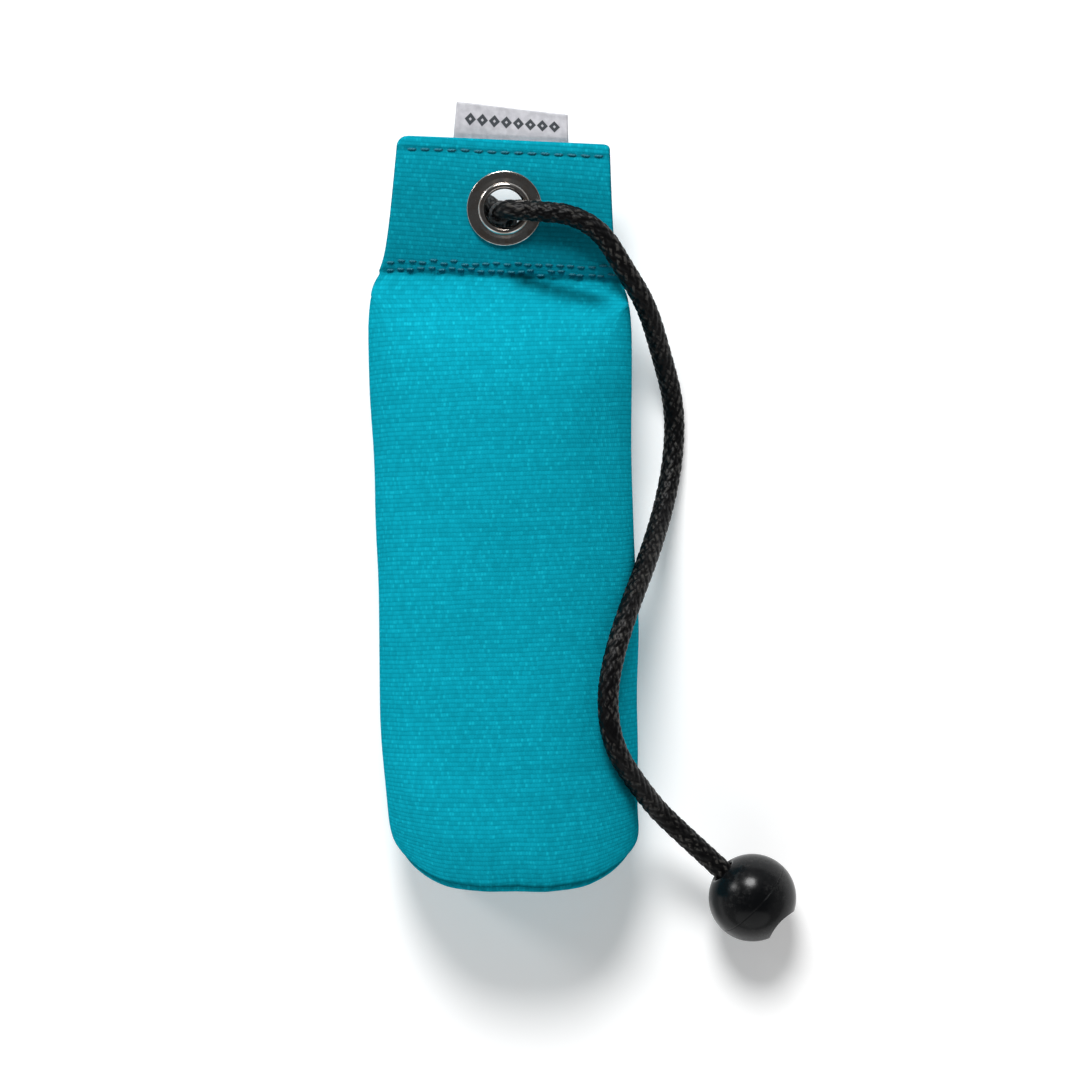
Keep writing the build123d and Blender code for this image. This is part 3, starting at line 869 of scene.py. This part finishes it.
# %% Node recipes
class Recipe:
    """A new material whose nodes are made by calls that read like formulas."""

    def __init__(self, name):
        self.material = bpy.data.materials.new(name)
        self.material.use_nodes = True
        self.tree = self.material.node_tree
        self.shader = self.tree.nodes["Principled BSDF"]

    def put(self, value, socket):
        """Links a node's answer to the socket, or sets a plain value there."""
        if isinstance(value, bpy.types.NodeSocket):
            self.tree.links.new(value, socket)
        else:
            socket.default_value = (*value, 1) if socket.type == "RGBA" else value

    def node(self, kind, inputs, **settings):
        made = self.tree.nodes.new(kind)
        for key, value in settings.items():
            setattr(made, key, value)
        for key, value in inputs.items():
            self.put(value, made.inputs[key])
        return made

    def math(self, operation, a, b=0.0, c=0.0):
        return self.node("ShaderNodeMath", {0: a, 1: b, 2: c}, operation=operation).outputs[0]

    def plus(self, a, b):
        return self.math("ADD", a, b)

    def minus(self, a, b):
        return self.math("SUBTRACT", a, b)

    def times(self, a, b):
        return self.math("MULTIPLY", a, b)

    def over(self, a, b):
        return self.math("DIVIDE", a, b)

    def uv(self):
        made = self.node("ShaderNodeUVMap", {}, uv_map="UVMap")
        split = self.node("ShaderNodeSeparateXYZ", {0: made.outputs[0]})
        return split.outputs[0], split.outputs[1]

    def place(self):
        return self.node("ShaderNodeTexCoord", {}).outputs["Object"]

    def pair(self, x, y, z=0.0):
        return self.node("ShaderNodeCombineXYZ", {0: x, 1: y, 2: z}).outputs[0]

    def noise(self, vector, scale, detail=3.0, roughness=0.5):
        inputs = {"Vector": vector, "Scale": scale, "Detail": detail, "Roughness": roughness}
        return self.node("ShaderNodeTexNoise", inputs).outputs["Fac"]

    def chance(self, vector):
        made = self.node("ShaderNodeTexWhiteNoise", {"Vector": vector}, noise_dimensions="3D")
        return made.outputs["Value"]

    def span(self, value, low, high, out_low=0.0, out_high=1.0):
        inputs = {"Value": value, "From Min": low, "From Max": high, "To Min": out_low, "To Max": out_high}
        return self.node("ShaderNodeMapRange", inputs, interpolation_type="SMOOTHSTEP").outputs[0]

    def mix(self, share, a, b):
        return self.node("ShaderNodeMix", {0: share, 6: a, 7: b}, data_type="RGBA").outputs[2]

    def scale_colour(self, colour, share):
        inputs = {0: colour, "Scale": share}
        return self.node("ShaderNodeVectorMath", inputs, operation="SCALE").outputs[0]

    def finish(self, colour, roughness, bumps=(), **plain):
        """Joins the shader up. bumps is a list of (height socket, metres)."""
        inputs = {"Base Color": colour, "Roughness": roughness}
        for height, distance in bumps:
            bump = {"Height": height, "Distance": distance, "Strength": 1.0}
            if "Normal" in inputs:
                bump["Normal"] = inputs["Normal"]
            inputs["Normal"] = self.node("ShaderNodeBump", bump).outputs[0]
        for key, value in plain.items():
            inputs[key.replace("_", " ")] = value
        for key, value in inputs.items():
            self.put(value, self.shader.inputs[key])
        return self.material


# %% [markdown]
# ## Canvas weave
# The canvas is ribbed: thick yarns lie across the body 1.26 mm apart, and the thin ones that
# cross them divide each rib into beads. So the pattern is a row number and a bead number, found
# by rounding the UV, and each bead has its own small change of shade.

# %% Canvas material
RIB_PITCH, BEAD_PITCH = 0.00126, 0.00084


def canvas_material(name):
    """Ribs across, staggered beads along each rib, fine changes of tone, and painted shade and highlight.
    """
    m = Recipe(name)
    u, v = m.uv()
    drift = m.times(m.minus(m.noise(m.pair(u, v), 38.0, 2.0), 0.5), 0.0011)
    shake = m.times(m.minus(m.noise(m.pair(u, v), 420.0, 2.0), 0.5), 0.00034)
    row = m.over(m.plus(m.plus(v, drift), shake), RIB_PITCH)
    row_number, row_place = m.math("FLOOR", row), m.math("FRACT", row)
    shift = m.times(m.chance(m.pair(row_number, 3.0)), 0.35)
    half_step = m.times(m.math("FLOORED_MODULO", row_number, 2.0), 0.5)
    col = m.over(m.plus(u, shake), BEAD_PITCH)
    col = m.plus(col, m.plus(half_step, shift))
    col_number, col_place = m.math("FLOOR", col), m.math("FRACT", col)
    rib = m.math("POWER", m.math("SINE", m.times(row_place, math.pi)), 0.7)
    bead_wave = m.math("POWER", m.math("SINE", m.times(col_place, math.pi)), 0.6)
    height = m.times(rib, m.math("MULTIPLY_ADD", bead_wave, 0.55, 0.45))
    own = m.chance(m.pair(col_number, row_number, 1.0))
    row_own = m.chance(m.pair(row_number, 7.0))
    soft = m.noise(m.place(), 60.0, 3.0)
    shade = m.math("MULTIPLY_ADD", own, 0.20, 0.90)
    shade = m.times(shade, m.math("MULTIPLY_ADD", row_own, 0.07, 0.965))
    shade = m.times(shade, m.math("MULTIPLY_ADD", soft, 0.16, 0.92))
    # Painted shade and highlight: the colour is darker in the weave's valleys and lighter on the crests of
    # some beads, following the weave's height.
    base = m.mix(m.span(height, 0.1, 0.8), (0.0018, 0.248, 0.333), (0.003, 0.308, 0.414))
    crest_highlight = m.times(m.span(own, 0.8, 1.0), m.span(height, 0.6, 1.0))
    light = m.mix(crest_highlight, base, (0.006, 0.37, 0.475))
    # The 'dark' attribute is painted shade, and darkens the colour by its share.
    painted_shade_share = m.node("ShaderNodeAttribute", {}, attribute_name="dark").outputs["Fac"]
    shade = m.times(shade, m.minus(1.0, painted_shade_share))
    fuzz = m.noise(m.pair(u, v), 2600.0, 2.0)
    colour = m.scale_colour(light, shade)
    return m.finish(colour, 1.0, [(height, 0.00005), (fuzz, 0.00006)], Specular_IOR_Level=0.0)


canvas_look = canvas_material("canvas")


# %% Painted shade in the canvas
def paint_dark(piece, amount):
    """Stores the painted shade of each vertex: how much darker it is than plain canvas, 0 to 1."""
    layer = piece.data.attributes.new("dark", "FLOAT", "POINT")
    layer.data.foreach_set("value", np.asarray(amount, float).ravel())


# Painted shade: darker in the stitch groove under the top edge, in the creases of the tab's seam and the
# end seam, at the closed top edge, along the fold right of the middle, and over the whole tab, growing
# towards its seam.
row_y = rows_y[:, None] + 0 * cover_points[..., 0]
painted_shade = 0.30 * hump(row_y, TOP_Y - 3.6, 0.55) * (row_y > SEAM_Y + 10)
painted_shade = painted_shade + 0.28 * hump(row_y, SEAM_Y + 0.1, 0.7) + 0.55 * hump(row_y, END_Y, 0.6)
painted_shade = painted_shade + 0.17 * ease((row_y - SEAM_Y + 1) / 2) * (1.15 - 0.7 * ease((row_y - SEAM_Y - 18) / 20))
painted_shade[:2] = 0.5
on_front_right = np.arange(cover_points.shape[1])[None] < FRONT
painted_shade = painted_shade + 0.62 * side_fold(cover_points[..., 0], cover_points[..., 1]) * on_front_right
paint_dark(canvas, painted_shade)
# Painted shade in the end seam's crease, along the disc's edge.
paint_dark(end_disc, np.tile((0.55 * hump(from_edge, 0, 0.45))[:, None], (1, disc_points.shape[1])))

# %% [markdown]
# ## Thread, label and metal
# The thread is the same dye a shade darker. The label is a fine pale weave with a row of dark
# lozenges. The eyelet is dull nickel with small scratches.


# %% Thread and label materials
def thread_material():
    m = Recipe("thread")
    u, v = m.uv()
    twist = m.math("SINE", m.plus(m.times(u, 12.6), m.times(v, 9000.0)))
    # Painted shade and highlight: the colour is darker in the grooves of the twist and lighter on its
    # ridges, which are also its bump.
    colour = m.mix(m.span(twist, -1.0, 1.0), (0.0015, 0.125, 0.175), (0.003, 0.190, 0.262))
    return m.finish(colour, 0.6, [(twist, 0.00005)])


LOZENGE_START, LOZENGE_PITCH = 0.0026, 0.0034
LOZENGE_MIDDLE, LOZENGE_HEIGHT = 0.0076, 0.0037
LOZENGE_END = LOZENGE_START + 8 * LOZENGE_PITCH


def label_material():
    """Lozenges: a point is dark where its distance across plus its distance along is small."""
    m = Recipe("label")
    u, v = m.uv()
    step = m.over(m.minus(u, LOZENGE_START), LOZENGE_PITCH)
    inside = m.times(m.math("GREATER_THAN", u, LOZENGE_START), m.math("LESS_THAN", u, LOZENGE_END))
    across = m.math("ABSOLUTE", m.minus(m.math("FRACT", step), 0.5))
    up = m.over(m.math("ABSOLUTE", m.minus(v, LOZENGE_MIDDLE)), LOZENGE_HEIGHT)
    far = m.plus(across, up)
    mark = m.times(m.minus(1.0, m.span(far, 0.44, 0.5)), inside)
    mark = m.times(mark, m.span(far, 0.10, 0.15))
    weft = m.math("SINE", m.times(v, 2 * math.pi / 0.00032))
    warp = m.math("SINE", m.times(u, 2 * math.pi / 0.00040))
    weave = m.times(weft, warp)
    spot = m.noise(m.pair(u, v), 500.0, 3.0)
    pale = m.mix(m.span(spot, 0.3, 0.75), (0.52, 0.52, 0.56), (0.66, 0.66, 0.70))
    colour = m.mix(mark, pale, (0.035, 0.042, 0.052))
    return m.finish(colour, 0.62, [(weave, 0.00006), (spot, 0.00008)], Sheen_Weight=0.15)


def metal_material():
    m = Recipe("eyelet metal")
    place = m.place()
    stain = m.span(m.noise(place, 260.0, 4.0, 0.65), 0.38, 0.66)
    fine = m.noise(place, 2400.0, 2.0)
    colour = m.mix(stain, (0.74, 0.72, 0.70), (0.42, 0.36, 0.31))
    rough = m.math("MULTIPLY_ADD", stain, 0.10, 0.13)
    return m.finish(colour, rough, [(m.noise(place, 300.0, 2.0), 0.00002), (fine, 0.000003)], Metallic=1.0)


# %% [markdown]
# ## Cord and ball
# The cord is dyed black. Along the middle of the strand on top the recipe draws short pale
# dashes on strands picked at random: a painted highlight on the strands' crowns. The ball is
# black plastic, with cloudy patches of pale dust and of duller polish.


# %% Cord and ball materials
def cord_material():
    """p and q number the two families of strands; their product says which one is on top."""
    m = Recipe("braided cord")
    u, v = m.uv()
    along = m.over(v, 2 * STRAND_PITCH * MM)
    turn = m.times(u, float(STRANDS))
    p, q = m.plus(turn, along), m.minus(turn, along)
    cp, cq = (m.math("COSINE", m.times(k, math.pi)) for k in (p, q))
    first_on_top = m.math("GREATER_THAN", m.times(cp, cq), 0.0)
    p_shows = m.times(m.math("ABSOLUTE", cp), first_on_top)
    on = m.plus(p_shows, m.times(m.math("ABSOLUTE", cq), m.minus(1.0, first_on_top)))
    draw = m.chance(m.pair(m.math("ROUND", p), m.math("ROUND", q), first_on_top))
    # Painted highlight: short pale dashes on the crown of the strand on top, on strands picked at random.
    crown_highlight = m.times(m.span(on, 0.72, 0.93), m.span(draw, 0.30, 0.55))
    fibre = m.noise(m.pair(m.times(u, 0.02), v), 900.0, 2.0)
    crown_highlight = m.times(crown_highlight, m.span(fibre, 0.36, 0.6))
    colour = m.mix(crown_highlight, (0.0020, 0.0020, 0.0023), (0.042, 0.040, 0.037))
    return m.finish(colour, 0.40, [(fibre, 0.00006)], Specular_IOR_Level=0.12)


def ball_material():
    m = Recipe("ball plastic")
    place = m.place()
    cloud = m.noise(place, 130.0, 4.0, 0.6)
    speck = m.noise(place, 900.0, 3.0, 0.6)
    dust = m.times(m.span(cloud, 0.42, 0.72), m.span(speck, 0.40, 0.70))
    colour = m.mix(dust, (0.0030, 0.0034, 0.0040), (0.017, 0.017, 0.017))
    rough = m.plus(m.span(cloud, 0.3, 0.8, 0.18, 0.28), m.span(speck, 0.3, 0.8, 0.0, 0.06))
    return m.finish(colour, rough, [(cloud, 0.00006), (speck, 0.00001)], Specular_IOR_Level=0.19)


thread_look, label_look, metal_look = thread_material(), label_material(), metal_material()
cord_look, ball_look = cord_material(), ball_material()


def dress(material, slot, *items):
    """Gives pieces their material; the slot argument is not used."""
    for item in items:
        item.data.materials.clear()
        item.data.materials.append(material)


dress(canvas_look, "canvas", canvas, end_disc)
dress(thread_look, "thread", top_thread, base_thread)
dress(label_look, "label", label)
dress(metal_look, "eyelet", barrel, washer)
dress(cord_look, "cord", cord, knot, core, bead)
dress(ball_look, "ball", ball_cord_side, ball_mouth_side)

# %% [markdown]
# ## Welding
# A grid that ends in a point, or runs round to where it began, still has several vertices on one
# spot. They are merged last, once nothing counts vertices any more, so every pole and every
# closing row is one.


# %% Weld
def weld(piece):
    """Merges the vertices that share a place, which closes poles and the profiles that meet."""
    shell = bmesh.new()
    shell.from_mesh(piece.data)
    bmesh.ops.remove_doubles(shell, verts=shell.verts, dist=SAME_PLACE)
    shell.to_mesh(piece.data)
    shell.free()


SAME_PLACE = 0.000001       # a thousandth of a millimetre
ON_BUMPER = (canvas, end_disc, top_thread, base_thread, label, barrel, washer, cord, knot, core, bead)
ON_BALL = (ball_cord_side, ball_mouth_side)
for piece in ON_BUMPER + ON_BALL:
    weld(piece)
print("vertices after welding", sum(len(piece.data.vertices) for piece in ON_BUMPER + ON_BALL))

# %% [markdown]
# ## What rides on what
# Each piece takes the place of its CAD node and moves with that node's body.

# %% Declarations
for piece in ON_BUMPER:
    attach(piece, "bumper")
for piece in ON_BALL:
    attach(piece, "ball")

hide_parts("canvas_cover", "filling")
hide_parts("end_disc")
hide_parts("top_edge_stitches")
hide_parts("tab_base_stitches")
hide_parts("woven_label")
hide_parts("eyelet_barrel")
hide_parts("eyelet_washer")
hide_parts("cord")
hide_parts("cord_knot", "cord_tail")
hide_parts("cord_end_bead")
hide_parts("ball_cord_half")
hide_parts("ball_mouth_half")

# %% [markdown]
# ## Studio
# A pale floor and soft light. The main light is a panel above and beyond the tab, a weaker one
# stands at the left, and the world fills the shadows a little.


# %% Floor and lights
def floor_material():
    m = Recipe("floor")
    m.shader.inputs["Emission Color"].default_value = (1, 1, 1, 1)
    return m.finish((0.88, 0.88, 0.88), 0.85, Specular_IOR_Level=0.05, Emission_Strength=0.24)


FLOOR_HALF = 4.0
floor = bpy.data.objects.new("floor", bpy.data.meshes.new("floor"))
floor_corners = [(x * FLOOR_HALF, y * FLOOR_HALF, 0) for x, y in ((-1, -1), (1, -1), (1, 1), (-1, 1))]
floor.data.from_pydata(floor_corners, [], [(0, 1, 2, 3)])
floor.data.materials.append(floor_material())
bpy.context.scene.collection.objects.link(floor)


def panel(name, direction, distance, size, power):
    """A soft oval light in the given direction, facing the middle of the object."""
    data = bpy.data.lights.new(name, "AREA")
    data.shape, data.size, data.size_y, data.energy = "ELLIPSE", size[0], size[1], power
    lamp = bpy.data.objects.new(name, data)
    direction = np.array(direction, float) / np.linalg.norm(direction)
    lamp.location = np.array([aim.x, aim.y, 0]) + direction * distance
    lamp.rotation_euler = Vector(-direction).to_track_quat("-Z", "Y").to_euler()
    bpy.context.scene.collection.objects.link(lamp)
    return lamp


panel("key", (-0.10, 0.69, 0.72), 2.4, (1.0, 0.9), 61)
panel("left", (-0.76, 0.43, 0.49), 2.4, (0.55, 0.55), 12)
panel("front", (0.0, -0.86, 0.50), 1.7, (2.6, 1.5), 6.5)

# The room's walls are paler than its ceiling: a bell over the height of the direction looked in.
world = bpy.data.worlds.new("world")
bpy.context.scene.world = world
world.use_nodes = True
sky = world.node_tree
direction = sky.nodes.new("ShaderNodeTexCoord").outputs["Generated"]
parts = sky.nodes.new("ShaderNodeSeparateXYZ")
walls = sky.nodes.new("ShaderNodeMapRange")
walls.interpolation_type = "SMOOTHSTEP"
for key, value in (("From Min", 0.85), ("From Max", 0.35), ("To Min", 0.05), ("To Max", 0.42)):
    walls.inputs[key].default_value = value
sky.links.new(direction, parts.inputs[0])
sky.links.new(parts.outputs["Z"], walls.inputs["Value"])
sky.links.new(walls.outputs[0], sky.nodes["Background"].inputs["Strength"])
sky.nodes["Background"].inputs["Color"].default_value = (1, 1, 1, 1)
